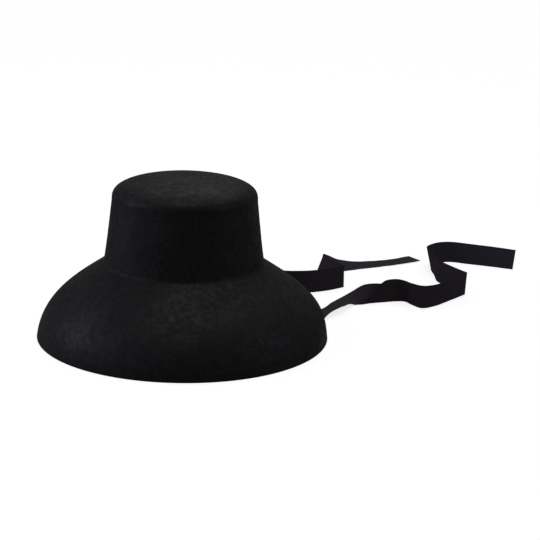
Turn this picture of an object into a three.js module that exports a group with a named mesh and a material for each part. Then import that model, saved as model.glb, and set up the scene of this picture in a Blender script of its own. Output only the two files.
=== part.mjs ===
// A wide-brimmed black felt hat with two ribbon ties, standing on its rim.
//
// The felt is one blocked piece: a flat-topped oval crown and a deep bell-shaped brim. Its wall
// is a lathe profile, stretched from round to oval and eased up where a ribbon passes under the
// rim. Each tie is a flat ribbon, sewn inside the crown at one side, which hangs to the table,
// runs under the rim and lies loose beside the hat.
//
// Millimetres, +Z up, the table at z = 0, the origin under the middle of the hat. The wearer
// faces -Y, so the long way of the head runs along Y and the ties are sewn at +X and -X.

import * as THREE from 'three';

// The felt. Half widths are across the hat, along X, to the outside of the felt.
const FELT_THICKNESS = 2;
const HAT_HEIGHT = 184.5;
const SHOULDER_HALF_WIDTH = 82.5;
const SHOULDER_HEIGHT = 157.5;
const CREASE_HALF_WIDTH = 91.5;
const CREASE_HEIGHT = 86.5;
const BRIM_HALF_WIDTH = 167;

// How much longer than wide each half of the oval is, along Y.
const CROWN_OVAL = 11.5;
const BRIM_OVAL = 12;

// The crown's top is a superellipse, and these are its powers across and upwards.
const TOP_ROUNDNESS = 1.86;
const TOP_FLATNESS = 3.2;

// The profile falls below level by these slopes, in degrees, from the wall's top to the rim. The
// hold is how far each slope carries on from its end, as a share of that stretch's length.
const WALL_TOP = { fall: 83.5, hold: 0.4 };
const WALL_BOTTOM = { fall: 80.5, hold: 0.3 };
const BRIM_TOP = { fall: 35.5, hold: 0.32 };
const BRIM_RIM = { fall: 83.5, hold: 0.4 };
const CREASE_ROUNDING = 3;

// How finely the felt is faceted.
const SEGMENTS_AROUND = 72;
const TOP_STEPS = 9;
const WALL_STEPS = 4;
const CREASE_STEPS = 2;
const BRIM_STEPS = 9;

// The ribbon of both ties, and the longest facet along it.
const RIBBON_WIDTH = 29;
const RIBBON_THICKNESS = 1;
const RIBBON_STEP = 10;

// A sewn ribbon stands this far off the oval that its edges touch, so that the facets stay clear.
const SEAT_GAP = 0.7;

// The brim swells outward on the right, most at the middle of this band of heights and in this
// direction round the oval, in degrees. It fades out over the reach either side.
const SWELL = { depth: 2.8, direction: 12, reach: 60, bottom: 0, middle: 36, top: 88 };

// Where the middle of each ribbon passes under the rim, as a direction round the oval in degrees,
// and how far the rim is eased up over it. The near ribbon starts to turn on edge below the rim.
const RIM_CROSSINGS = [
  { direction: 25, lift: 3.5 },
  { direction: 74, lift: 2 },
];

// The rim is eased up on a plateau of this reach either side, with a soft slope past it.
const LIFT_PLATEAU = 24;
const LIFT_SLOPE = 30;
const LIFT_FADE_HEIGHT = 45;

// The stretch of each ribbon that is sewn to the inside of the crown.
const SEWN_TOP = 106;
const SEWN_BOTTOM = 90;

// The ties, a row for each place along the ribbon. x and y are the middle of the ribbon, lift is
// its lowest edge above the table, lean is how far its width is tipped from standing on edge (0)
// to lying flat (90), and toward is the direction in plan in which its upper edge is tipped.
// A row marked fold ends one smooth stretch and starts the next, with a sharp crease between.
// A row marked sewn takes its x from the crown's inner wall, on the side of its sign.
const RIGHT_TIE_ROWS = [
  { sewn: 1, y: 0, lift: SEWN_TOP, toward: 90, lean: 90 },
  { sewn: 1, y: 0, lift: SEWN_BOTTOM, toward: 90, lean: 90 },
  { x: 89, y: 1, lift: 60, toward: 97, lean: 90 },
  { x: 91, y: 3, lift: 30, toward: 108, lean: 90 },
  { x: 96, y: 8, lift: 9, toward: 121, lean: 90 },
  { x: 103, y: 15, lift: 2.5, toward: 129, lean: 90 },
  { x: 114, y: 28, lift: 0.6, toward: 138, lean: 90 },
  { x: 128, y: 44, lift: 0.2, toward: 144, lean: 90 },
  { x: 143, y: 61, lift: 0.3, toward: 148, lean: 90 },
  { x: 150, y: 70, lift: 0.2, toward: 149, lean: 90 },
  { x: 160, y: 85, lift: 0.2, toward: 150, lean: 102 },
  { x: 180, y: 116, lift: 0.4, toward: 150, lean: 104 },
  { x: 190, y: 140, lift: 0.7, toward: 140, lean: 96 },
  { x: 203, y: 152, lift: 0.4, toward: 105, lean: 75 },
  { x: 215, y: 152, lift: 0, toward: 80, lean: 45 },
  { x: 225, y: 150, lift: 0, toward: 40, lean: 30 },
  { x: 232, y: 152, lift: 0, toward: 20, lean: 30, fold: 1 },
  { x: 242, y: 158, lift: 0, toward: 40, lean: 15 },
  { x: 260, y: 165, lift: 0, toward: 90, lean: 5 },
  { x: 270, y: 162, lift: 0, toward: -110, lean: 8 },
  { x: 278, y: 148, lift: 0, toward: -110, lean: 5 },
  { x: 290, y: 136, lift: 0, toward: 60, lean: 3 },
  { x: 305, y: 144, lift: 0, toward: -110, lean: 5 },
  { x: 330, y: 175, lift: 0, toward: -90, lean: 5 },
  { x: 354, y: 210, lift: 0, toward: 70, lean: 10, fold: 1 },
  { x: 338, y: 240, lift: 0, toward: 20, lean: 5 },
  { x: 325, y: 270, lift: 0, toward: 10, lean: 5 },
  { x: 322, y: 300, lift: 0, toward: 180, lean: 5 },
  { x: 319, y: 335, lift: 0, toward: 180, lean: 12 },
  { x: 322, y: 358, lift: 0, toward: 145, lean: 18 },
  { x: 338, y: 380, lift: 0, toward: 110, lean: 15 },
  { x: 355, y: 385, lift: 0, toward: 80, lean: 15 },
  { x: 380, y: 377, lift: 0, toward: 70, lean: 20 },
  { x: 410, y: 367, lift: 0, toward: 70, lean: 25 },
  { x: 440, y: 355, lift: 0, toward: 70, lean: 30 },
];

const LEFT_TIE_ROWS = [
  { sewn: -1, y: 0, lift: SEWN_TOP, toward: 90, lean: 90 },
  { sewn: -1, y: 0, lift: SEWN_BOTTOM, toward: 90, lean: 90 },
  { x: -88.5, y: 0, lift: 60, toward: 88, lean: 90 },
  { x: -88, y: -1, lift: 30, toward: 84, lean: 90 },
  { x: -83, y: -3, lift: 9, toward: 82, lean: 90 },
  { x: -76, y: -4, lift: 2.5, toward: 84, lean: 90 },
  { x: -63, y: -5, lift: 0.6, toward: 90, lean: 90 },
  { x: -42, y: 0, lift: 0.2, toward: 108, lean: 90 },
  { x: -12, y: 22, lift: 0.1, toward: 132, lean: 90 },
  { x: 12, y: 58, lift: 0.1, toward: 152, lean: 90 },
  { x: 27, y: 100, lift: 0.1, toward: 161, lean: 90 },
  { x: 38, y: 136, lift: 0.3, toward: 163, lean: 90 },
  { x: 48, y: 169, lift: 0.3, toward: 162, lean: 90 },
  { x: 57, y: 190, lift: 0.5, toward: 150, lean: 84 },
  { x: 71, y: 203, lift: 0, toward: 120, lean: 60 },
  { x: 88, y: 204, lift: 0, toward: 95, lean: 32 },
  { x: 105, y: 195, lift: 0, toward: 60, lean: 5 },
  { x: 120, y: 191, lift: 0, toward: 90, lean: 2 },
  { x: 150, y: 195, lift: 0, toward: 100, lean: 5 },
  { x: 175, y: 209, lift: 0, toward: 120, lean: 5 },
  { x: 196, y: 228, lift: 0, toward: 100, lean: 8, fold: 1 },
  { x: 180, y: 256, lift: 0, toward: 30, lean: 15 },
  { x: 164, y: 283, lift: 0, toward: 35, lean: 25, fold: 1 },
  { x: 172, y: 297, lift: 0, toward: 100, lean: 30 },
  { x: 182, y: 309, lift: 0, toward: 125, lean: 45 },
  { x: 200, y: 325, lift: 0, toward: 125, lean: 70 },
  { x: 220, y: 338, lift: 0, toward: 120, lean: 82 },
  { x: 250, y: 355, lift: 0.2, toward: 120, lean: 88 },
  { x: 275, y: 370, lift: 0.5, toward: 120, lean: 90 },
  { x: 304, y: 389, lift: 1.5, toward: 120, lean: 90 },
];

const DEGREE = Math.PI / 180;

// A box lists its sides as right, left, top, bottom, front and back, with two triangles a quad.
const BOX_BACK = 5;
const CORNERS_PER_QUAD = 6;

// The crown's top, from its middle out to the shoulder.
function crownTop() {
  const rise = HAT_HEIGHT - SHOULDER_HEIGHT;
  const points = [];
  for (let step = 0; step <= TOP_STEPS; step += 1) {
    const turn = (step / TOP_STEPS) * 90 * DEGREE;
    const radius = SHOULDER_HALF_WIDTH * Math.sin(turn) ** (2 / TOP_ROUNDNESS);
    const height = SHOULDER_HEIGHT + rise * Math.abs(Math.cos(turn)) ** (2 / TOP_FLATNESS);
    points.push(new THREE.Vector2(radius, height));
  }
  return points;
}

// A stretch of the profile between two points, leaving one slope and arriving at the other.
function sweep(start, end, slopeAtStart, slopeAtEnd, steps) {
  const length = start.distanceTo(end);
  const handle = (slope) => {
    const fall = slope.fall * DEGREE;
    return new THREE.Vector2(Math.cos(fall), -Math.sin(fall)).multiplyScalar(slope.hold * length);
  };
  const leave = start.clone().add(handle(slopeAtStart));
  const arrive = end.clone().sub(handle(slopeAtEnd));
  return new THREE.CubicBezierCurve(start, leave, arrive, end).getPoints(steps);
}

// The point a rounding's length away from a corner, toward the next point of the profile.
function besideCorner(corner, next) {
  return corner.clone().lerp(next, CREASE_ROUNDING / corner.distanceTo(next));
}

// The outside of the felt, from the middle of the crown's top down to the rim.
function outsideProfile() {
  const shoulder = new THREE.Vector2(SHOULDER_HALF_WIDTH, SHOULDER_HEIGHT);
  const crease = new THREE.Vector2(CREASE_HALF_WIDTH, CREASE_HEIGHT);
  const rim = new THREE.Vector2(BRIM_HALF_WIDTH, 0);
  const wall = sweep(shoulder, crease, WALL_TOP, WALL_BOTTOM, WALL_STEPS);
  const brim = sweep(crease, rim, BRIM_TOP, BRIM_RIM, BRIM_STEPS);
  const intoCrease = besideCorner(crease, wall[WALL_STEPS - 1]);
  const outOfCrease = besideCorner(crease, brim[1]);
  const rounding = new THREE.QuadraticBezierCurve(intoCrease, crease, outOfCrease);
  return [...crownTop(), ...wall.slice(1, -1), ...rounding.getPoints(CREASE_STEPS), ...brim.slice(1)];
}

// The inside of the felt: the outside moved in by the felt's thickness, square to the surface.
function insideProfile(outside) {
  return outside.map((point, index) => {
    if (index === 0) return new THREE.Vector2(0, point.y - FELT_THICKNESS);
    if (index === outside.length - 1) return new THREE.Vector2(point.x - FELT_THICKNESS, point.y);
    const before = outside[index - 1];
    const after = outside[index + 1];
    const along = after.clone().sub(before).normalize();
    return new THREE.Vector2(point.x + along.y * FELT_THICKNESS, point.y - along.x * FELT_THICKNESS);
  });
}

// How much longer than its half width the oval is at a given half width.
function ovalAt(halfWidth) {
  if (halfWidth <= SHOULDER_HALF_WIDTH) return (CROWN_OVAL * halfWidth) / SHOULDER_HALF_WIDTH;
  const outward = THREE.MathUtils.clamp(
    (halfWidth - CREASE_HALF_WIDTH) / (BRIM_HALF_WIDTH - CREASE_HALF_WIDTH), 0, 1);
  return THREE.MathUtils.lerp(CROWN_OVAL, BRIM_OVAL, outward);
}

// How far the felt is eased up at a direction round the rim and a height on the brim.
function easedUp(direction, height) {
  const fade = 1 - THREE.MathUtils.smoothstep(height, 0, LIFT_FADE_HEIGHT);
  const lifts = RIM_CROSSINGS.map((crossing) => {
    const turn = direction - crossing.direction * DEGREE;
    const shortTurn = Math.abs(Math.atan2(Math.sin(turn), Math.cos(turn)));
    const distance = shortTurn * BRIM_HALF_WIDTH;
    const gone = THREE.MathUtils.smoothstep(distance, LIFT_PLATEAU, LIFT_PLATEAU + LIFT_SLOPE);
    return crossing.lift * (1 - gone);
  });
  return fade * Math.max(...lifts);
}

// How far the brim swells outward at a direction and a height.
function swellAt(direction, height) {
  const { depth, reach, bottom, middle, top } = SWELL;
  const turn = Math.abs(direction - SWELL.direction * DEGREE);
  const across = 1 - THREE.MathUtils.smoothstep(turn, 0, reach * DEGREE);
  const grown = THREE.MathUtils.smoothstep(height, bottom, middle);
  const gone = THREE.MathUtils.smoothstep(height, middle, top);
  return depth * across * grown * (1 - gone);
}

function feltBody() {
  const outside = outsideProfile();
  const inside = insideProfile(outside);
  const profile = [...inside, ...outside.reverse()];
  const geometry = new THREE.LatheGeometry(profile, SEGMENTS_AROUND);
  // The lathe turns about its own Y axis, so its Y becomes the hat's Z.
  geometry.rotateX(90 * DEGREE);
  const position = geometry.attributes.position;
  const point = new THREE.Vector3();
  for (let index = 0; index < position.count; index += 1) {
    point.fromBufferAttribute(position, index);
    const halfWidth = Math.hypot(point.x, point.y);
    const direction = Math.atan2(point.y, point.x);
    const stretch = halfWidth > 0 ? 1 + ovalAt(halfWidth) / halfWidth : 1;
    const swell = halfWidth > 0 ? 1 + swellAt(direction, point.z) / halfWidth : 1;
    const [x, y] = [point.x * swell, point.y * swell * stretch];
    position.setXYZ(index, x, y, point.z + easedUp(direction, point.z));
  }
  geometry.computeVertexNormals();
  const felt = new THREE.MeshStandardMaterial({ color: '#1b1a1c', roughness: 0.95, metalness: 0 });
  const mesh = new THREE.Mesh(geometry, felt);
  mesh.name = 'felt_body';
  return mesh;
}

// The half width of the crown's inner wall at a height, read off the inside profile.
function innerWallAt(height) {
  const inside = insideProfile(outsideProfile());
  const below = inside.findIndex((point) => point.y < height);
  const upper = inside[below - 1];
  const lower = inside[below];
  return THREE.MathUtils.mapLinear(height, lower.y, upper.y, lower.x, upper.x);
}

// The middle of a sewn ribbon stands off the oval wall, because its flat edges touch first.
function sewnX(side, height) {
  const wall = innerWallAt(height);
  const halfLength = wall + CROWN_OVAL;
  const atEdges = wall * Math.sqrt(1 - (RIBBON_WIDTH / 2 / halfLength) ** 2);
  return side * (atEdges - SEAT_GAP - RIBBON_THICKNESS / 2);
}

// The two edges of the ribbon at one row of a tie's table.
function edgesAt(row) {
  const lean = row.lean * DEGREE;
  const toward = row.toward * DEGREE;
  const x = row.sewn ? sewnX(row.sewn, row.lift) : row.x;
  const standing = (RIBBON_WIDTH / 2) * Math.abs(Math.cos(lean));
  const lying = (RIBBON_THICKNESS / 2) * Math.sin(lean);
  const middle = new THREE.Vector3(x, row.y, row.lift + standing + lying);
  const across = new THREE.Vector3(
    Math.sin(lean) * Math.cos(toward), Math.sin(lean) * Math.sin(toward), Math.cos(lean));
  across.multiplyScalar(RIBBON_WIDTH / 2);
  return { left: middle.clone().add(across), right: middle.clone().sub(across) };
}

// Stations along a tie: pairs of edge points, on smooth curves between one fold and the next.
function stationsAlong(rows) {
  const stations = [];
  let stretch = [];
  rows.forEach((row, index) => {
    stretch.push(edgesAt(row));
    const last = index === rows.length - 1;
    if (!row.fold && !last) return;
    const left = new THREE.CatmullRomCurve3(stretch.map((edges) => edges.left), false, 'centripetal');
    const right = new THREE.CatmullRomCurve3(stretch.map((edges) => edges.right), false, 'centripetal');
    const spans = stretch.length - 1;
    for (let span = 0; span < spans; span += 1) {
      const length = left.getPoint(span / spans).distanceTo(left.getPoint((span + 1) / spans));
      const steps = Math.max(1, Math.round(length / RIBBON_STEP));
      for (let step = 0; step < steps; step += 1) {
        const share = (span + step / steps) / spans;
        stations.push({ left: left.getPoint(share), right: right.getPoint(share) });
      }
    }
    if (last) stations.push(stretch[spans]);
    stretch = [edgesAt(row)];
  });
  return stations;
}

// The direction square to the ribbon's face over one step between two stations.
function faceBetween(start, end) {
  const along = end.left.clone().add(end.right).sub(start.left).sub(start.right);
  const across = end.left.clone().add(start.left).sub(end.right).sub(start.right);
  return along.cross(across).normalize();
}

// How far the ribbon's face lies from its middle surface at each station, mitred at the folds.
function faceOffsets(stations) {
  const faces = stations.slice(1).map((station, index) => faceBetween(stations[index], station));
  return stations.map((station, index) => {
    const before = faces[Math.max(0, index - 1)];
    const after = faces[Math.min(faces.length - 1, index)];
    const mean = before.clone().add(after).normalize();
    return mean.multiplyScalar(RIBBON_THICKNESS / 2 / mean.dot(after));
  });
}

// A box splits the quads of its front and its back along opposite diagonals. Where the ribbon
// twists, those would cross inside it, so the back's quads are split along the front's diagonals.
function splitBackAsFront(box) {
  const corners = box.index;
  const back = box.groups[BOX_BACK];
  for (let quad = back.start; quad < back.start + back.count; quad += CORNERS_PER_QUAD) {
    const first = corners.getX(quad);
    const opposite = corners.getX(quad + 4);
    corners.setX(quad + 2, opposite);
    corners.setX(quad + 3, first);
  }
}

function tie(name, rows) {
  const stations = stationsAlong(rows);
  const offsets = faceOffsets(stations);
  const steps = stations.length - 1;
  // A flat bar, as long as it has steps, whose corners are then carried to the stations.
  const geometry = new THREE.BoxGeometry(steps, 2, 2, steps, 1, 1);
  splitBackAsFront(geometry);
  const position = geometry.attributes.position;
  const corner = new THREE.Vector3();
  for (let index = 0; index < position.count; index += 1) {
    corner.fromBufferAttribute(position, index);
    const at = Math.round(corner.x + steps / 2);
    const edge = corner.y > 0 ? stations[at].left : stations[at].right;
    const carried = edge.clone().addScaledVector(offsets[at], corner.z);
    position.setXYZ(index, carried.x, carried.y, carried.z);
  }
  geometry.computeVertexNormals();
  const grosgrain = new THREE.MeshStandardMaterial({ color: '#1d1b1f', roughness: 0.7, metalness: 0 });
  const mesh = new THREE.Mesh(geometry, grosgrain);
  mesh.name = name;
  return mesh;
}

const hat = new THREE.Group();
hat.add(feltBody());
hat.add(tie('tie_right', RIGHT_TIE_ROWS));
hat.add(tie('tie_left', LEFT_TIE_ROWS));

export default hat;
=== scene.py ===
# %% [markdown]
# # A felt hat with ribbon ties
#
# The real hat is one piece of black wool felt, steamed and pulled over a block, with two loose
# grosgrain ribbons sewn inside the crown. It stands on its rim, and the ribbons lie beside it.
# A measured model of plain solids fixes every place and size. This notebook keeps to it and puts
# the real surfaces where the plain solids are. Lengths are metres, +Z is up, the table is z = 0.

import bpy
import numpy as np
from mathutils import Matrix, Vector


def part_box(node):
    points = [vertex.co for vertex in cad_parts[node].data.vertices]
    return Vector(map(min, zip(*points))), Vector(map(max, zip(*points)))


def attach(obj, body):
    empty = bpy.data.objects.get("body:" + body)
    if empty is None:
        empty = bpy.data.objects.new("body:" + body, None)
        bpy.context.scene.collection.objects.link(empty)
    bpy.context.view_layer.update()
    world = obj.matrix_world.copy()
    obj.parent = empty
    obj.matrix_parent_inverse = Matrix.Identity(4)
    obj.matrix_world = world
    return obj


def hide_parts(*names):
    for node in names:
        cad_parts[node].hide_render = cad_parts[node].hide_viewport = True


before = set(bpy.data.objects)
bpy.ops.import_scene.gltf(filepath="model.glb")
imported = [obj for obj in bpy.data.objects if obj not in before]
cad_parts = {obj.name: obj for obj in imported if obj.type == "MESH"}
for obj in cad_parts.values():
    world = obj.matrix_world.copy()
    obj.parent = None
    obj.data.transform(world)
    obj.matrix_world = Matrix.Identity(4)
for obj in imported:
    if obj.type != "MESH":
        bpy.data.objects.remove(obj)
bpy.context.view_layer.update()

# %% [markdown]
# ## The camera
#
# A product picture of a hat is taken from a step back with a long lens, so that the brim isn't
# stretched. The camera stands a metre and a half in front of the hat and a little to one side,
# looks down at the brim, and is turned a touch about its own line of sight. A camera has to be
# there before the ribbons, because the ribbons are checked against what it sees.

# %% Place the camera
CAMERA_PLACE = (0.0983, -1.5520, 0.4763)
DEGREES_DOWN = 14.386
DEGREES_TURNED = 1.751
LENS_MM = 93.3
SENSOR_MM = 36.0

camera_data = bpy.data.cameras.new("camera")
camera_data.lens = LENS_MM
camera_data.sensor_width = SENSOR_MM
camera = bpy.data.objects.new("camera", camera_data)
bpy.context.scene.collection.objects.link(camera)
tilt = Matrix.Rotation(np.radians(90 - DEGREES_DOWN), 4, "X")
turn = Matrix.Rotation(np.radians(DEGREES_TURNED), 4, "Z")
camera.matrix_world = Matrix.Translation(CAMERA_PLACE) @ tilt @ turn
bpy.context.scene.camera = camera
print("camera at", CAMERA_PLACE, "with a", LENS_MM, "mm lens")

# %% [markdown]
# ## The route of each ribbon
#
# A ribbon bends along its length and twists, but it hardly bends across its width. So its shape
# is known from its two edges alone. A cloth simulation could drop a ribbon on the table, but it
# would never land in the folds that this one has. So each route is a table, a row for each place
# along the ribbon, and the two edges are smooth curves through the rows.
#
# In a row, x and y are the middle of the ribbon, and lift is its lowest edge above the table.
# Lean is how far the width is tipped from standing on edge (0) to lying flat (90), or past 90 where
# the ribbon starts to turn over. Toward is the direction, seen from above, in which the upper edge
# is tipped. Both are in degrees. A row with a fold ends one smooth stretch and starts the next,
# with a sharp crease between them.

# %% The two routes
RIBBON_WIDTH = 0.029
SOLID_THICKNESS = 0.001

# Columns: x, y, lift, toward, lean, fold.
RIGHT_ROUTE = [
    (0.0844, 0.0, 0.106, 90, 90, 0),
    (0.0868, 0.0, 0.09, 90, 90, 0),
    (0.089, 0.001, 0.06, 97, 90, 0),
    (0.091, 0.003, 0.03, 108, 90, 0),
    (0.096, 0.008, 0.009, 121, 90, 0),
    (0.103, 0.015, 0.0025, 129, 90, 0),
    (0.114, 0.028, 0.0006, 138, 90, 0),
    (0.128, 0.044, 0.0002, 144, 90, 0),
    (0.143, 0.061, 0.0003, 148, 90, 0),
    (0.150, 0.070, 0.0002, 149, 90, 0),
    (0.160, 0.085, 0.0002, 150, 102, 0),
    (0.180, 0.116, 0.0004, 150, 104, 0),
    (0.190, 0.140, 0.0007, 140, 96, 0),
    (0.203, 0.152, 0.0004, 105, 75, 0),
    (0.215, 0.152, 0.0, 80, 45, 0),
    (0.225, 0.150, 0.0, 40, 30, 0),
    (0.232, 0.152, 0.0, 20, 30, 1),
    (0.242, 0.158, 0.0, 40, 15, 0),
    (0.260, 0.165, 0.0, 90, 5, 0),
    (0.270, 0.162, 0.0, -110, 8, 0),
    (0.278, 0.148, 0.0, -110, 5, 0),
    (0.290, 0.136, 0.0, 60, 3, 0),
    (0.305, 0.144, 0.0, -110, 5, 0),
    (0.330, 0.175, 0.0, -90, 5, 0),
    (0.354, 0.210, 0.0, 70, 10, 1),
    (0.338, 0.240, 0.0, 20, 5, 0),
    (0.325, 0.270, 0.0, 10, 5, 0),
    (0.322, 0.300, 0.0, 180, 5, 0),
    (0.319, 0.335, 0.0, 180, 12, 0),
    (0.322, 0.358, 0.0, 145, 18, 0),
    (0.338, 0.380, 0.0, 110, 15, 0),
    (0.355, 0.385, 0.0, 80, 15, 0),
    (0.380, 0.377, 0.0, 70, 20, 0),
    (0.410, 0.367, 0.0, 70, 25, 0),
    (0.440, 0.355, 0.0, 70, 30, 0),
]

LEFT_ROUTE = [
    (-0.0844, 0.0, 0.106, 90, 90, 0),
    (-0.0868, 0.0, 0.09, 90, 90, 0),
    (-0.0885, 0.0, 0.06, 88, 90, 0),
    (-0.088, -0.001, 0.03, 84, 90, 0),
    (-0.083, -0.003, 0.009, 82, 90, 0),
    (-0.076, -0.004, 0.0025, 84, 90, 0),
    (-0.063, -0.005, 0.0006, 90, 90, 0),
    (-0.042, 0.0, 0.0002, 108, 90, 0),
    (-0.012, 0.022, 0.0001, 132, 90, 0),
    (0.012, 0.058, 0.0001, 152, 90, 0),
    (0.027, 0.1, 0.0001, 161, 90, 0),
    (0.038, 0.136, 0.0003, 163, 90, 0),
    (0.048, 0.169, 0.0003, 162, 90, 0),
    (0.057, 0.19, 0.0005, 150, 84, 0),
    (0.071, 0.203, 0.0, 120, 60, 0),
    (0.088, 0.204, 0.0, 95, 32, 0),
    (0.105, 0.195, 0.0, 60, 5, 0),
    (0.120, 0.191, 0.0, 90, 2, 0),
    (0.150, 0.195, 0.0, 100, 5, 0),
    (0.175, 0.209, 0.0, 120, 5, 0),
    (0.196, 0.228, 0.0, 100, 8, 1),
    (0.180, 0.256, 0.0, 30, 15, 0),
    (0.164, 0.283, 0.0, 35, 25, 1),
    (0.172, 0.297, 0.0, 100, 30, 0),
    (0.182, 0.309, 0.0, 125, 45, 0),
    (0.200, 0.325, 0.0, 125, 70, 0),
    (0.220, 0.338, 0.0, 120, 82, 0),
    (0.250, 0.355, 0.0002, 120, 88, 0),
    (0.275, 0.370, 0.0005, 120, 90, 0),
    (0.304, 0.389, 0.0015, 120, 90, 0),
]
print("rows in the right and left route:", len(RIGHT_ROUTE), len(LEFT_ROUTE))


# %% A smooth curve through points
def smooth_line(points, samples):
    """A centripetal Catmull-Rom curve. Between two points it is a cubic. Its slope at each point is
    the mix of the slopes to the points before and after, weighted by the square roots of the
    distances, and beyond both ends the line goes on as the mirror image of its last span."""
    before = 2 * points[0] - points[1]
    after = 2 * points[-1] - points[-2]
    chain = np.vstack([before, points, after])
    pace = np.sqrt(np.linalg.norm(np.diff(chain, axis=0), axis=1))[:, None]
    slope = np.diff(chain, axis=0) / pace
    wide_slope = (chain[2:] - chain[:-2]) / (pace[:-1] + pace[1:])
    knot_slope = slope[:-1] - wide_slope + slope[1:]
    leave = (knot_slope[:-1] * pace[1:-1])[:, None, :]
    arrive = (knot_slope[1:] * pace[1:-1])[:, None, :]
    start = points[:-1, None, :]
    end = points[1:, None, :]
    share = np.linspace(0, 1, samples, endpoint=False)[None, :, None]
    rest = 1 - share
    span = (start * rest**2 * (1 + 2 * share) + end * share**2 * (3 - 2 * share)
            + leave * share * rest**2 - arrive * share**2 * rest)
    return np.vstack([span.reshape(-1, 3), points[-1:]])


def line_length(line):
    """The sum of the distances from each point to the next."""
    return float(np.linalg.norm(np.diff(line, axis=0), axis=1).sum())


square_corner = np.array([(0.0, 0.0, 0.0), (1.0, 0.0, 0.0), (1.0, 1.0, 0.0)])
rounded_corner = smooth_line(square_corner, 40)
print("a smooth line through a square corner is", round(line_length(rounded_corner), 3), "long")

# %% The two edges of a ribbon
SAMPLES_PER_ROW = 40
STATION_STEP = 0.0008
CREASE_PASSES = 3
FOLD_COLUMN = 5


def row_edges(route):
    """At each row the upper edge lies half a width from the middle. It is tipped by the lean from
    straight up towards the row's direction, and the lower edge lies opposite."""
    x, y, lift, toward, lean = np.array(route, dtype=float).T[:FOLD_COLUMN]
    toward, lean = np.radians(toward), np.radians(lean)
    height = lift + RIBBON_WIDTH / 2 * abs(np.cos(lean)) + SOLID_THICKNESS / 2 * np.sin(lean)
    middle = np.column_stack([x, y, height])
    across = np.column_stack(
        [np.sin(lean) * np.cos(toward), np.sin(lean) * np.sin(toward), np.cos(lean)])
    return middle + across * RIBBON_WIDTH / 2, middle - across * RIBBON_WIDTH / 2


def even_steps(*lines):
    """The same lines with points at even steps, measured along the mean of the lines."""
    steps = sum(np.linalg.norm(np.diff(line, axis=0), axis=1) for line in lines) / len(lines)
    run = np.concatenate([[0], np.cumsum(steps)])
    places = np.linspace(0, run[-1], int(run[-1] / STATION_STEP) + 1)
    return [np.column_stack([np.interp(places, run, axis) for axis in line.T]) for line in lines]


def soften(line, passes):
    """Each pass moves every inner point halfway to the middle between its neighbours, which rounds
    a sharp crease into a bend about a millimetre across and leaves a smooth line as it is."""
    line = line.copy()
    for _ in range(passes):
        line[1:-1] = line[1:-1] / 2 + (line[:-2] + line[2:]) / 4
    return line


def ribbon_edges(route):
    """Both edges run smoothly from fold to fold, and are then joined, evened out and softened."""
    upper, lower = row_edges(route)
    folds = np.flatnonzero(np.array(route)[:, FOLD_COLUMN])
    ends = [0, *folds, len(route) - 1]
    stretches = list(zip(ends[:-1], ends[1:]))
    upper = np.vstack([smooth_line(upper[a:b + 1], SAMPLES_PER_ROW) for a, b in stretches])
    lower = np.vstack([smooth_line(lower[a:b + 1], SAMPLES_PER_ROW) for a, b in stretches])
    upper, lower = even_steps(upper, lower)
    return soften(upper, CREASE_PASSES), soften(lower, CREASE_PASSES)


edges = {"right": ribbon_edges(RIGHT_ROUTE), "left": ribbon_edges(LEFT_ROUTE)}
for side, (upper, lower) in edges.items():
    length = round(line_length((upper + lower) / 2), 4)
    print(side, "tie:", len(upper), "stations,", length, "m long")

# %% [markdown]
# ## The ribbon's surface
#
# Grosgrain is a stiff, tightly woven ribbon about half a millimetre thick, with a selvedge along
# each edge that is a little thicker than the web. A flat strip given thickness by a modifier
# would have hard square edges. Here the ribbon's cross-section is a thin closed outline, carried
# along the two edges, so that the selvedges and the rounded edges are really there. The surface
# carries its own map in metres, along and across the ribbon, for the weave to follow.

# %% The outline of the ribbon's cross-section
WEB_THICKNESS = 0.0005
SELVEDGE_THICKNESS = 0.0007
SELVEDGE_WIDTH = 0.0014
SECTION_STEPS = 26


def ribbon_section():
    """Places across the ribbon from -1 to 1, crowded towards the edges by a sine, and the half
    thickness there: the web's, rising to the selvedge's by a smooth bump near both edges, and
    closed by an ellipse at the very edge. The outline runs over the top and back underneath."""
    across = np.sin(np.linspace(-np.pi / 2, np.pi / 2, SECTION_STEPS))
    from_edge = (1 - abs(across)) * RIBBON_WIDTH / 2
    bump = np.clip(1 - abs(from_edge / SELVEDGE_WIDTH - 0.5) * 2, 0, 1)
    extra = (SELVEDGE_THICKNESS - WEB_THICKNESS) / 2 * np.sin(bump * np.pi / 2) ** 2
    half = WEB_THICKNESS / 2 + extra
    edge = np.clip(from_edge / (SELVEDGE_THICKNESS / 2), 0, 1)
    half = half * np.sqrt(1 - (1 - edge) ** 2)
    across_loop = np.concatenate([across, across[-2:0:-1]])
    height_loop = np.concatenate([half, -half[-2:0:-1]])
    return across_loop, height_loop


section_across, section_height = ribbon_section()
print("points round the ribbon's cross-section:", len(section_across))

# %% From arrays to a mesh
def volume_inside(mesh):
    """A sixth of the sum over the triangles of the first corner dotted with the cross product of
    the other two, which is negative where the faces point inwards."""
    mesh.calc_loop_triangles()
    places = np.empty(len(mesh.vertices) * 3, dtype=np.float32)
    corners = np.empty(len(mesh.loop_triangles) * 3, dtype=np.int32)
    mesh.vertices.foreach_get("co", places)
    mesh.loop_triangles.foreach_get("vertices", corners)
    first, second, third = places.reshape(-1, 3)[corners.reshape(-1, 3)].transpose(1, 0, 2)
    return float((first * np.cross(second, third)).sum() / 6)


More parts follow.
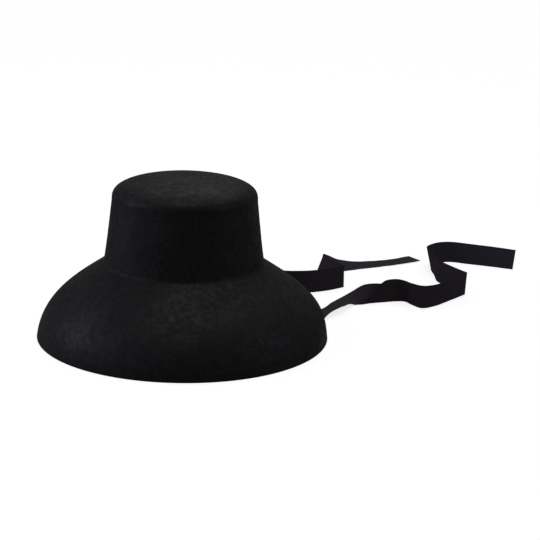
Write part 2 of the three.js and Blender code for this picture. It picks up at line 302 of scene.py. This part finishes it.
def new_piece(name, vertices, faces, uv=None):
    """A mesh from an array of points and a list of faces, turned right side out. Its object sits at
    the origin. The map, if given, holds one pair of numbers for each corner of each face."""
    mesh = bpy.data.meshes.new(name)
    mesh.from_pydata(vertices.reshape(-1, 3).tolist(), [], faces)
    if uv is not None:
        layer = mesh.uv_layers.new(name="cloth")
        layer.data.foreach_set("uv", np.asarray(uv, dtype=np.float32).ravel())
    if volume_inside(mesh) < 0:
        mesh.flip_normals()
    mesh.validate()
    mesh.shade_smooth()
    piece = bpy.data.objects.new(name, mesh)
    bpy.context.scene.collection.objects.link(piece)
    print(name, "has", len(mesh.vertices), "points and", len(mesh.polygons), "faces")
    return piece


def wrapped_grid(rows, columns):
    """Four-sided faces of a grid that closes on itself across its columns."""
    index = np.arange(rows * columns).reshape(rows, columns)
    beside = np.roll(index, -1, axis=1)
    return np.stack([index[:-1], beside[:-1], beside[1:], index[1:]], axis=-1).reshape(-1, 4)


print("a tube of 3 rings with 8 points each has", len(wrapped_grid(3, 8)), "faces")

# %% The surface carried along the edges
RANDOM_SEED = 7
RIPPLE = 0.00022
RIPPLE_WAVES = (0.021, 0.034, 0.055)
RIPPLE_AT_MIDDLE = 0.3
SKEW_SOFTENING = 3
SEWN_LENGTH = 0.016
SEWN_BOW = 0.0009
SEWN_BOW_FADE = 0.03

rng = np.random.default_rng(RANDOM_SEED)


def ribbon_frame(upper, lower):
    """At each station the middle of the ribbon, half its width as an arrow to the upper edge, and
    the direction square to its face, from the cross product of along and across."""
    middle = (upper + lower) / 2
    half = (upper - lower) / 2
    along = np.gradient(middle, axis=0)
    face = np.cross(along, half)
    return middle, half, face / np.linalg.norm(face, axis=1)[:, None]


def off_flat(run, across):
    """How far the ribbon's middle surface leaves the flat. Where it is sewn it bows outwards to lie
    on the round wall, by one minus the square of the place across, and elsewhere a few slow waves
    ripple it, which are strongest at its edges and have random phases."""
    sewn = np.clip((SEWN_LENGTH + SEWN_BOW_FADE - run) / SEWN_BOW_FADE, 0, 1)
    bow = SEWN_BOW * sewn**2 * (3 - 2 * sewn) * (1 - across**2)
    ripple = np.zeros(np.broadcast(run, across).shape)
    for wave in RIPPLE_WAVES:
        phase, skew = rng.uniform(0, 2 * np.pi, 2)
        ripple += np.sin(2 * np.pi * run / wave + phase + skew * across / SKEW_SOFTENING)
    strength = RIPPLE_AT_MIDDLE + (1 - RIPPLE_AT_MIDDLE) * across**2
    return bow, RIPPLE / len(RIPPLE_WAVES) * ripple * strength * (1 - sewn)


def ribbon_piece(name, upper, lower, outward):
    """The point at a station and a place round the section is the ribbon's middle, plus the half
    width times the place across, plus the face's direction times the height there. Outward is 1
    where the face's direction points at the felt in the sewn stretch, and -1 where it doesn't."""
    middle, half, face = ribbon_frame(upper, lower)
    steps = np.linalg.norm(np.diff(middle, axis=0), axis=1)
    run = np.concatenate([[0], np.cumsum(steps)])[:, None]
    across = section_across[None, :]
    bow, ripple = off_flat(run, across)
    height = section_height[None, :] + outward * bow + ripple
    points = middle[:, None] + half[:, None] * across[..., None] + face[:, None] * height[..., None]
    rows, columns = points.shape[:2]
    sides = wrapped_grid(rows, columns)
    ends = [list(range(columns))[::-1], list(range((rows - 1) * columns, rows * columns))]
    along_map = np.broadcast_to(run, (rows, columns))
    across_map = np.broadcast_to((1 + across) / 2 * RIBBON_WIDTH, (rows, columns))
    place = np.stack([along_map, across_map], axis=-1).reshape(-1, 2)
    uv = np.vstack([place[sides.ravel()], place[ends[0]], place[ends[1]]])
    return new_piece(name, points, sides.tolist() + ends, uv), middle


print("a ribbon ripples by up to", RIPPLE, "m, with waves of", RIPPLE_WAVES, "m")

OUTWARD = {"right": 1, "left": -1}
ties = []
for side, (upper, lower) in edges.items():
    tie, line = ribbon_piece("ribbon_tie_" + side, upper, lower, OUTWARD[side])
    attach(tie, "root")
    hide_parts("tie_" + side)
    ties.append(tie)

# %% [markdown]
# ## The felt
#
# The felt is blocked in one piece: a nearly flat top with a rounded edge, a wall that leans in, a
# sharp crease where a cord held the felt against the block, and a deep bell of a brim. Box
# modelling with subdivision would do, but its crease is hard to keep both sharp and even. The
# shape is one profile carried round an oval, so the notebook works it out as exactly that: a
# line of widths and heights, a direction round the hat, and a stretch that makes circles oval.

# %% The outline of the felt, from the middle of the top to the rim
RIM_HALF_WIDTH, RIM_HALF_LENGTH, HAT_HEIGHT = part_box("felt_body")[1]
FELT_THICKNESS = 0.002
SHOULDER = np.array([0.0825, 0.1575])
CREASE = np.array([0.0915, 0.0865])
CROWN_OVAL = 0.0115
TOP_ROUNDNESS = 1.86
TOP_FLATNESS = 3.2
# Falls are the slopes below level at both ends, in degrees. Holds are how far each end's slope is
# held, as a share of the way between the ends.
WALL_FALL = (83.5, 80.5)
WALL_HOLD = (0.4, 0.3)
BRIM_FALL = (35.5, 83.5)
BRIM_HOLD = (0.32, 0.4)
CREASE_ROUNDING = 0.003
PROFILE_STEPS = {"top": 44, "wall": 26, "crease": 9, "brim": 60}


def bezier(points, steps):
    """A Bezier curve: repeated mixing of neighbouring points until one is left at each share."""
    share = np.linspace(0, 1, steps + 1)[:, None]
    level = [np.broadcast_to(point, (steps + 1, 2)) for point in points]
    while len(level) > 1:
        level = [a * (1 - share) + b * share for a, b in zip(level[:-1], level[1:])]
    return level[0]


def sweep(start, end, fall, hold, steps):
    """A Bezier from start to end whose handles follow the two slopes below level."""
    length = np.linalg.norm(end - start)
    leave, arrive = [np.array([np.cos(a), -np.sin(a)]) for a in np.radians(fall)]
    handles = start + leave * hold[0] * length, end - arrive * hold[1] * length
    return bezier([start, *handles, end], steps)


def outside_profile():
    """The top is a superellipse: the half width is the sine and the rise the cosine of one angle,
    each to a power. The wall and the brim are sweeps, and a short Bezier rounds the crease."""
    angle = np.linspace(0, np.pi / 2, PROFILE_STEPS["top"] + 1)
    width = SHOULDER[0] * np.sin(angle) ** (2 / TOP_ROUNDNESS)
    rise = (HAT_HEIGHT - SHOULDER[1]) * abs(np.cos(angle)) ** (2 / TOP_FLATNESS)
    top = np.column_stack([width, SHOULDER[1] + rise])
    wall = sweep(SHOULDER, CREASE, WALL_FALL, WALL_HOLD, PROFILE_STEPS["wall"])
    rim = np.array([RIM_HALF_WIDTH, 0.0])
    brim = sweep(CREASE, rim, BRIM_FALL, BRIM_HOLD, PROFILE_STEPS["brim"])
    wall = wall[np.linalg.norm(wall - CREASE, axis=1) > CREASE_ROUNDING]
    brim = brim[np.linalg.norm(brim - CREASE, axis=1) > CREASE_ROUNDING]
    into = CREASE + (wall[-1] - CREASE) * CREASE_ROUNDING / np.linalg.norm(wall[-1] - CREASE)
    out_of = CREASE + (brim[0] - CREASE) * CREASE_ROUNDING / np.linalg.norm(brim[0] - CREASE)
    rounding = bezier([into, CREASE, out_of], PROFILE_STEPS["crease"])
    return np.vstack([top, wall[1:], rounding, brim])


outside = outside_profile()
print("points down the felt's outside:", len(outside))

# %% The felt's wall and its cut rim
RIM_ROUNDING = 0.0005
RIM_STEPS = 4


def square_to(profile):
    """The direction square to the profile at each point, pointing out of the hat."""
    along = np.gradient(profile, axis=0)
    along = along / np.linalg.norm(along, axis=1)[:, None]
    return np.column_stack([-along[:, 1], along[:, 0]])


def felt_profile():
    """The outside, a small quarter circle at each corner of the cut rim, and the inside, which is
    the outside moved in by the felt's thickness. Both ends lie on the hat's axis."""
    out = square_to(outside)
    out[0] = (0, 1)
    inside = outside - out * FELT_THICKNESS
    angle = np.linspace(0, np.pi / 2, RIM_STEPS + 1)
    rim = outside[-1]
    outer = rim + RIM_ROUNDING * np.column_stack([np.cos(angle) - 1, 1 - np.sin(angle)])
    inner_rim = rim - (FELT_THICKNESS, 0)
    inner = inner_rim + RIM_ROUNDING * np.column_stack([1 - np.sin(angle), 1 - np.cos(angle)])
    keep = outside[:, 1] > RIM_ROUNDING
    profile = np.vstack([outside[keep], outer, inner, inside[inside[:, 1] > RIM_ROUNDING][::-1]])
    profile[[0, -1], 0] = 0
    return profile


profile = felt_profile()
print("points round the whole wall:", len(profile))

# %% From a circle to this hat's own oval
LIFT_PLATEAU = 0.024
LIFT_SLOPE = 0.030
LIFT_FADE_HEIGHT = 0.045
# Columns: direction in degrees, lift over the ribbon there.
RIM_CROSSINGS = [(25, 0.0035), (74, 0.002)]
SWELL_DEPTH = 0.0028
SWELL_DIRECTION = 12
SWELL_REACH = 60
SWELL_HEIGHTS = (0, 0.036, 0.088)
LEAST_WIDTH = 1e-9


def eased(share):
    """A smooth step from 0 to 1."""
    share = np.clip(share, 0, 1)
    return share**2 * (3 - 2 * share)


def oval_stretch(width):
    """How many times longer than wide the hat is at a half width. The extra half length grows
    evenly from the axis to the shoulder and from the crown's to the brim's beyond the crease."""
    brim_oval = RIM_HALF_LENGTH - RIM_HALF_WIDTH
    outward = np.clip((width - CREASE[0]) / (RIM_HALF_WIDTH - CREASE[0]), 0, 1)
    extra = np.minimum(width / SHOULDER[0], 1) * (CROWN_OVAL + (brim_oval - CROWN_OVAL) * outward)
    return 1 + extra / np.maximum(width, LEAST_WIDTH)


def angle_between(direction, degrees):
    """The angle from a direction to one given in degrees, the short way round and never negative:
    that of the point on the unit circle at their difference."""
    return abs(np.angle(np.exp(1j * (direction - np.radians(degrees)))))


def eased_up(direction, height):
    """The rim rises by its own small lift over each ribbon, on a plateau with soft slopes, and the
    rise fades upwards."""
    rise = np.zeros_like(direction)
    for crossing, lift in RIM_CROSSINGS:
        away = angle_between(direction, crossing) * RIM_HALF_WIDTH
        rise = np.maximum(rise, lift * (1 - eased((away - LIFT_PLATEAU) / LIFT_SLOPE)))
    return rise * (1 - eased(height / LIFT_FADE_HEIGHT))


def swelling(direction, height):
    """The brim swells outward on the right, by the depth times a smooth fall to nothing over the
    reach either side of its direction, a smooth rise from the rim and a smooth fall above."""
    bottom, middle, top = SWELL_HEIGHTS
    across = 1 - eased(angle_between(direction, SWELL_DIRECTION) / np.radians(SWELL_REACH))
    grown = eased((height - bottom) / (middle - bottom))
    gone = eased((height - middle) / (top - middle))
    return SWELL_DEPTH * across * grown * (1 - gone)


print("times longer than wide at the rim:", round(float(oval_stretch(RIM_HALF_WIDTH)), 4))

# %% The felt carried round the oval
STEPS_AROUND = 256
HAND_TURNS = range(2, 9)
HAND_DEPTH = 0.00035
HAND_DRIFT = 40
HAND_STRENGTH = (0.4, 1)


def hand_of_the_maker(direction, width, height):
    """Slow uneven waves in the felt, in and out, at most a third of a millimetre deep: a sum of
    cosines of whole turns round the hat, each with its own random phase, drift with the height and
    strength."""
    depth = np.zeros(np.broadcast(direction, width).shape)
    for turns in HAND_TURNS:
        phase = rng.uniform(0, 2 * np.pi)
        drift = rng.uniform(-HAND_DRIFT, HAND_DRIFT)
        strength = rng.uniform(*HAND_STRENGTH)
        depth += strength * np.cos(turns * direction + phase + drift * height)
    return HAND_DEPTH * depth / len(HAND_TURNS) * eased(width / SHOULDER[0])


def felt_surface():
    """A point is the profile's half width in a direction round the axis, moved in or out by the
    hand's waves and the swell, stretched along Y to the oval, at the profile's height plus the
    easing up. A fan of triangles closes each end at the axis."""
    direction = np.linspace(0, 2 * np.pi, STEPS_AROUND, endpoint=False)[None, :]
    width, height = profile[1:-1, 0, None], profile[1:-1, 1, None]
    radius = width + hand_of_the_maker(direction, width, height) + swelling(direction, height)
    x = radius * np.cos(direction)
    y = radius * np.sin(direction) * oval_stretch(width)
    z = height + eased_up(direction, height)
    rings = np.stack([x, y, z], axis=-1)
    poles = np.array([[0, 0, profile[0, 1]], [0, 0, profile[-1, 1]]])
    rows = len(rings)
    quads = wrapped_grid(rows, STEPS_AROUND)
    ring = np.arange(STEPS_AROUND)
    beside = np.roll(ring, -1)
    last = (rows - 1) * STEPS_AROUND
    top_pole, under_pole = rows * STEPS_AROUND, rows * STEPS_AROUND + 1
    top_fan = np.column_stack([np.full(STEPS_AROUND, top_pole), ring, beside])
    under_fan = np.column_stack([np.full(STEPS_AROUND, under_pole), last + beside, last + ring])
    points = np.vstack([rings.reshape(-1, 3), poles])
    return points, quads[:, ::-1].tolist() + top_fan.tolist() + under_fan.tolist()


felt = new_piece("felt_hat", *felt_surface())
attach(felt, "root")
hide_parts("felt_body")

# %% [markdown]
# ## The stitches
#
# Each ribbon is held inside the crown by a few hand stitches in black thread. They can only be
# seen from under the hat. A curve for each stitch would make two dozen objects, so each ribbon's
# are worked out at once as one array: short arches of thread that go down into the ribbon.

# %% Stitches in two rows across each sewn end
STITCHES = 6
STITCH_LENGTH = 0.0026
STITCH_RISE = 0.0003
THREAD_RADIUS = 0.00022
THREAD_AT_ENDS = 0.02
STITCH_ROWS = (0.003, 0.013)
ARCH_STEPS = 9
THREAD_SIDES = 8


def stitch_points(side):
    """Along an arch the thread rises by a sine over the ribbon's inner face and thins at its ends.
    Round it a circle of the thread's radius turns from across the arch to off the face."""
    middle, half, face = ribbon_frame(*edges[side])
    inward = -OUTWARD[side]
    station = np.rint(np.array(STITCH_ROWS) / STATION_STEP).astype(int)[:, None, None, None]
    place = np.linspace(-1, 1, STITCHES + 2)[1:-1][None, :, None, None]
    share = np.linspace(0, 1, ARCH_STEPS)[None, None, :, None]
    turn = np.linspace(0, 2 * np.pi, THREAD_SIDES, endpoint=False)[None, None, None, :]
    across = place + (share - 0.5) * STITCH_LENGTH / (RIBBON_WIDTH / 2)
    arch = np.sin(np.pi * share)
    radius = THREAD_RADIUS * np.sqrt(arch + THREAD_AT_ENDS)
    rise = STITCH_RISE * arch + WEB_THICKNESS / 2 - SEWN_BOW * (1 - across**2)
    height = rise + radius * np.sin(turn)
    along = radius * np.cos(turn)
    length_way = np.gradient(middle, axis=0) / STATION_STEP
    return (middle[station] + half[station] * across[..., None]
            + inward * face[station] * height[..., None] + length_way[station] * along[..., None])


def stitch_faces(count):
    """The faces of one closed arch, repeated for each stitch with its points counted on."""
    arch = wrapped_grid(ARCH_STEPS, THREAD_SIDES)
    size = ARCH_STEPS * THREAD_SIDES
    caps = [list(range(THREAD_SIDES))[::-1], list(range(size - THREAD_SIDES, size))]
    faces = arch.tolist() + caps
    shifts = range(0, count * size, size)
    return [[point + shift for point in face] for shift in shifts for face in faces]


seams = []
for side in edges:
    count = STITCHES * len(STITCH_ROWS)
    seam = new_piece("stitches_" + side, stitch_points(side), stitch_faces(count))
    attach(seam, "root")
    seams.append(seam)

# %% [markdown]
# ## Materials as sums
#
# Felt and grosgrain get their character from detail far smaller than their shape, so it is worked
# out by the material instead: noise, stripes and masks that are added and multiplied. Wiring
# those by hand takes many lines. Here a node's output can be used in a Python sum, and each sign
# in the sum adds the maths node that it stands for.

# %% A node's output in Python sums
class Field:
    """A value that changes over a surface: the output of a node in a finish."""

    def __init__(self, finish, socket):
        self.finish = finish
        self.socket = socket

    def math(self, operation, *values):
        """One maths node on up to three values, in the order given."""
        return self.finish.node("ShaderNodeMath", {"operation": operation}, dict(enumerate(values)))

    def __add__(self, other):
        return self.math("ADD", self, other)

    def __sub__(self, other):
        return self.math("SUBTRACT", self, other)

    def __rsub__(self, other):
        return self.math("SUBTRACT", other, self)

    def __mul__(self, other):
        return self.math("MULTIPLY", self, other)

    def __truediv__(self, other):
        return self.math("DIVIDE", self, other)

    def __abs__(self):
        return self.math("ABSOLUTE", self)

    __radd__ = __add__
    __rmul__ = __mul__

    def wave(self, length):
        """A wave from 0 to 1 and back as the value grows by one length."""
        return self.math("SINE", self * (2 * np.pi / length)) * 0.5 + 0.5

    def between(self, low, high):
        """0 below the low value, 1 above the high one, and a smooth step between them."""
        settings = {"interpolation_type": "SMOOTHSTEP"}
        limits = {"Value": self, "From Min": low, "From Max": high}
        return self.finish.node("ShaderNodeMapRange", settings, limits)


print("a field takes part in sums with + - * / and abs()")

# %% A finish and its nodes
class Finish:
    """A material: its nodes, and the surface shader that they feed."""

    def __init__(self, name, **uniform):
        self.material = bpy.data.materials.new(name)
        self.material.use_nodes = True
        self.tree = self.material.node_tree
        self.surface = self.tree.nodes["Principled BSDF"]
        for socket, value in uniform.items():
            self.surface.inputs[socket.replace("_", " ")].default_value = value

    def node(self, kind, settings, inputs, output=0):
        """Adds one node: its type, then its settings, then its sockets' values or links."""
        made = self.tree.nodes.new(kind)
        for name, value in settings.items():
            setattr(made, name, value)
        for name, value in inputs.items():
            if isinstance(value, Field):
                self.tree.links.new(value.socket, made.inputs[name])
            else:
                made.inputs[name].default_value = value
        return Field(self, made.outputs[output])

    def noise(self, place, size, detail=2.0, rough=0.5, distortion=0.0):
        """Noise whose largest blots are about the given size across."""
        values = {"Vector": place, "Scale": 1 / size, "Detail": detail, "Roughness": rough,
                  "Distortion": distortion}
        return self.node("ShaderNodeTexNoise", {}, values)

    def mix(self, share, first, second):
        """The first colour where the share is 0 and the second where it is 1."""
        return self.node("ShaderNodeMix", {"data_type": "RGBA"}, {0: share, 6: first, 7: second}, 2)

    def relief(self, height, depth, strength=1.0):
        """A bump that is as deep as given where the height goes from 0 to 1."""
        values = {"Height": height, "Distance": depth, "Strength": strength}
        return self.node("ShaderNodeBump", {}, values)

    def feed(self, **fields):
        """Links fields to the surface's sockets."""
        for socket, field in fields.items():
            self.tree.links.new(field.socket, self.surface.inputs[socket.replace("_", " ")])
        return self.material


print("materials are written as sums from here on")

# %% [markdown]
# ## Black wool felt
#
# Felt has no weave. Short curly fibres lie tangled in all directions, matted into clumps a few
# millimetres wide, and the nap is brushed but stays slightly fuzzy. So the colour is a near
# black, clouded at three sizes, with thin pale loops where single fibres catch the light. The
# fibres are the lines along which a twisted noise passes its middle value. The paler clumps are
# also a little smoother, so the felt has the broad and dull gloss of a brushed nap.

# %% The felt's finish
FELT_DARK = (0.0045, 0.0042, 0.0047, 1)
FELT_PALE = (0.0135, 0.0127, 0.0140, 1)
FIBRE_COLOUR = (0.0350, 0.0340, 0.0370, 1)
FELT_ROUGHNESS = (0.36, 0.56)
FELT_RELIEF = 0.0006
CLOUD_SIZE = 0.035
CLUMP_SIZE = 0.0065
GRAIN_SIZE = 0.0014
CURL_SIZE = 0.0030
CURL_WIDTH = 0.035
CURL_TWIST = 2.5
LOOSE_PATCH_SIZE = 0.006
LOOSE_PALENESS = 0.75


def fibres(finish, place, size, width):
    """1 on the lines where a distorted noise passes its middle value, and 0 a width away."""
    curls = finish.noise(place, size, detail=1.0, distortion=CURL_TWIST)
    return 1 - (abs(curls - 0.5) / width).between(0.0, 1.0)


def wool_felt():
    """The shade is a weighted sum of clouds, clumps and grain, and the height one of clumps, grain
    and strands. Strands show pale only in the patches where another noise is high."""
    felt_finish = Finish("black_wool_felt", Specular_IOR_Level=0.38)
    place = felt_finish.node("ShaderNodeTexCoord", {}, {}, "Object")
    cloud = felt_finish.noise(place, CLOUD_SIZE, detail=2.0)
    clumps = felt_finish.noise(place, CLUMP_SIZE, detail=4.0, rough=0.6)
    grain = felt_finish.noise(place, GRAIN_SIZE, detail=3.0, rough=0.65)
    strands = fibres(felt_finish, place, CURL_SIZE, CURL_WIDTH)
    patches = felt_finish.noise(place, LOOSE_PATCH_SIZE, detail=2.0).between(0.50, 0.66)
    loose = strands * patches
    shade = (cloud * 0.25 + clumps * 0.55 + grain * 0.20).between(0.40, 0.60)
    colour = felt_finish.mix(shade, FELT_DARK, FELT_PALE)
    colour = felt_finish.mix(loose * LOOSE_PALENESS, colour, FIBRE_COLOUR)
    smooth, rough = FELT_ROUGHNESS
    roughness = smooth + (rough - smooth) * (1 - shade)
    height = clumps * 0.45 + grain * 0.35 + strands * 0.20
    return felt_finish.feed(Base_Color=colour, Roughness=roughness,
                            Normal=felt_finish.relief(height, FELT_RELIEF, 0.8))


felt.data.materials.append(wool_felt())
print("felt finish:", felt.data.materials[0].name)

# %% [markdown]
# ## Black grosgrain
#
# In grosgrain, fine warp threads run along the ribbon and cover thick weft cords that run across
# it, so the face is ribbed. The cords are what the eye sees. An image of a weave would have to be
# painted. Stripes worked out from the ribbon's own map follow it through every twist and fold,
# and weaken at the selvedge, where the weave is plainer and tighter.

# %% The ribbon's finish
CORD_PITCH = 0.00085
CORD_WANDER = 0.00025
CORD_IN_SELVEDGE = 0.35
WARP_PITCH = 0.00030
WARP_WANDER = 0.00010
SLUB_SIZE = 0.0020
WEAR_SIZE = 0.0180
RIBBON_RELIEF = 0.00014
PLY_SIZE = 0.00025
PLY_RELIEF = 0.00005
RIBBON_DARK = (0.055, 0.047, 0.058, 1)
RIBBON_PALE = (0.095, 0.082, 0.100, 1)


def grosgrain():
    """Cords are waves along the ribbon and warp threads are waves across it, both pushed about a
    little by the slubs. Cords fade to about a third in the selvedge. The cord wave also darkens
    the colour in each groove between two ridges, which is painted shade."""
    ribbon = Finish("black_grosgrain", Specular_IOR_Level=0.10)
    cloth = ribbon.node("ShaderNodeUVMap", {"uv_map": "cloth"}, {})
    run = ribbon.node("ShaderNodeSeparateXYZ", {}, {"Vector": cloth}, "X")
    across = ribbon.node("ShaderNodeSeparateXYZ", {}, {"Vector": cloth}, "Y")
    place = ribbon.node("ShaderNodeTexCoord", {}, {}, "Object")
    slub = ribbon.noise(place, SLUB_SIZE, detail=3.0, rough=0.6)
    wear = ribbon.noise(place, WEAR_SIZE, detail=2.0)
    from_edge = RIBBON_WIDTH / 2 - abs(across - RIBBON_WIDTH / 2)
    web = from_edge.between(SELVEDGE_WIDTH * 0.8, SELVEDGE_WIDTH)
    ribbing = CORD_IN_SELVEDGE + (1 - CORD_IN_SELVEDGE) * web
    cords_and_groove_shade = (run + slub * CORD_WANDER).wave(CORD_PITCH) * ribbing
    threads = (across + slub * WARP_WANDER).wave(WARP_PITCH)
    # Painted shade: the cord wave darkens the colour in the grooves between the cords.
    shade = cords_and_groove_shade * 0.45 + slub * 0.25 + wear * 0.30
    colour = ribbon.mix(shade.between(0.2, 0.85), RIBBON_DARK, RIBBON_PALE)
    height = cords_and_groove_shade * 0.75 + threads * 0.25
    return ribbon.feed(Base_Color=colour, Roughness=0.58 + 0.20 * slub,
                       Normal=ribbon.relief(height, RIBBON_RELIEF, 0.9))


def sewing_thread():
    """The plies of the thread are a fine noise, in colour and in relief."""
    thread = Finish("black_thread", Specular_IOR_Level=0.10, Roughness=0.6)
    place = thread.node("ShaderNodeTexCoord", {}, {}, "Object")
    plies = thread.noise(place, PLY_SIZE, detail=2.0)
    colour = thread.mix(plies, RIBBON_DARK, RIBBON_PALE)
    return thread.feed(Base_Color=colour, Normal=thread.relief(plies, PLY_RELIEF))


ribbon_finish = grosgrain()
thread_finish = sewing_thread()
for tie in ties:
    tie.data.materials.append(ribbon_finish)
for seam in seams:
    seam.data.materials.append(thread_finish)
print("ribbon finish:", ribbon_finish.name, "and thread finish:", thread_finish.name)

# %% [markdown]
# ## Floor and light
#
# Black felt on a white table is a hard picture to light: light that is strong enough to whiten the
# table makes the felt grey. A studio uses a light table, which glows by itself, so that the lights
# over the hat can stay weak. So this floor glows, and it is kept out of the light that reaches the
# hat. Wide soft lights hang over the hat, before and behind it and to both sides. They give the
# crown's top and the upper brim their broad dull shine. Cooler lights stand round it, strongest at
# the left. The room is white to look at, but gives the hat only a faint and even light.

# %% A pale glowing table
FLOOR_SIZE = 60.0
FLOOR_GREY = (0.86, 0.86, 0.86, 1)
FLOOR_GLOW = 0.80

floor_mesh = bpy.data.meshes.new("floor")
reach = FLOOR_SIZE / 2
corners = [(-reach, -reach, 0), (reach, -reach, 0), (reach, reach, 0), (-reach, reach, 0)]
floor_mesh.from_pydata(corners, [], [(0, 1, 2, 3)])
floor = bpy.data.objects.new("floor", floor_mesh)
bpy.context.scene.collection.objects.link(floor)
floor_finish = Finish("pale_floor", Base_Color=FLOOR_GREY, Roughness=0.9,
                      Emission_Color=(1, 1, 1, 1), Emission_Strength=FLOOR_GLOW)
floor_mesh.materials.append(floor_finish.material)
floor.visible_diffuse = False
floor.visible_glossy = False
print("table of", FLOOR_SIZE, "metres, glowing at", FLOOR_GLOW)

# %% Soft lights
# Back is how many degrees a light hangs behind the hat's axis, or before it if negative, and turned
# is how many degrees it is then swung round to the right.
SOFT_ANGLE = 30
CEILING_LIGHTS = {
    "overhead": {"back": 5, "turned": 0, "strength": 0.16},
    "overhead_left": {"back": 30, "turned": -50, "strength": 0.01},
    "overhead_right": {"back": 30, "turned": 50, "strength": 0.10},
    "behind": {"back": 50, "turned": 0, "strength": 0.10},
    "before": {"back": -15, "turned": 0, "strength": 0.14},
}
SIDE_LIGHTS = {
    "left": {"place": (-1.9, 0.2, 0.8), "watts": 4.8},
    "front_left": {"place": (-1.6, -1.2, 0.9), "watts": 1.6},
    "right": {"place": (1.9, -0.3, 1.0), "watts": 1.6},
}
SIDE_SIZE = (1.0, 1.4)
SIDE_TINT = (0.80, 0.76, 1.0)
AIM = (0.05, 0.0, 0.08)


def hang(name, kind, towards, strength, tint=(1, 1, 1)):
    """A light that shines from a direction, given as an arrow from the hat to the light."""
    lamp = bpy.data.lights.new(name, kind)
    lamp.energy = strength
    lamp.color = tint
    light = bpy.data.objects.new(name, lamp)
    light.rotation_euler = Vector(towards).to_track_quat("Z", "Y").to_euler()
    bpy.context.scene.collection.objects.link(light)
    print(name, "light of strength", strength)
    return light


for name, light in CEILING_LIGHTS.items():
    back, turned = np.radians((light["back"], light["turned"]))
    towards = (np.sin(back) * np.sin(turned), np.sin(back) * np.cos(turned), np.cos(back))
    hang(name, "SUN", towards, light["strength"]).data.angle = np.radians(SOFT_ANGLE)

for name, light in SIDE_LIGHTS.items():
    softbox = hang(name, "AREA", np.subtract(light["place"], AIM), light["watts"], SIDE_TINT)
    softbox.location = light["place"]
    softbox.data.shape = "RECTANGLE"
    softbox.data.size, softbox.data.size_y = SIDE_SIZE

# %% The studio round the hat
ROOM_LIGHT = 0.08

world = bpy.data.worlds.new("studio")
world.use_nodes = True
room = world.node_tree
dim = room.nodes["Background"]
white = room.nodes.new("ShaderNodeBackground")
seen = room.nodes.new("ShaderNodeLightPath")
choice = room.nodes.new("ShaderNodeMixShader")
for background, strength in ((dim, ROOM_LIGHT), (white, 1.0)):
    background.inputs["Color"].default_value = (1, 1, 1, 1)
    background.inputs["Strength"].default_value = strength
room.links.new(seen.outputs["Is Camera Ray"], choice.inputs[0])
room.links.new(dim.outputs[0], choice.inputs[1])
room.links.new(white.outputs[0], choice.inputs[2])
room.links.new(choice.outputs[0], room.nodes["World Output"].inputs["Surface"])
bpy.context.scene.world = world
bpy.context.scene.view_settings.view_transform = "Standard"
print("the room gives", ROOM_LIGHT, "and looks white")
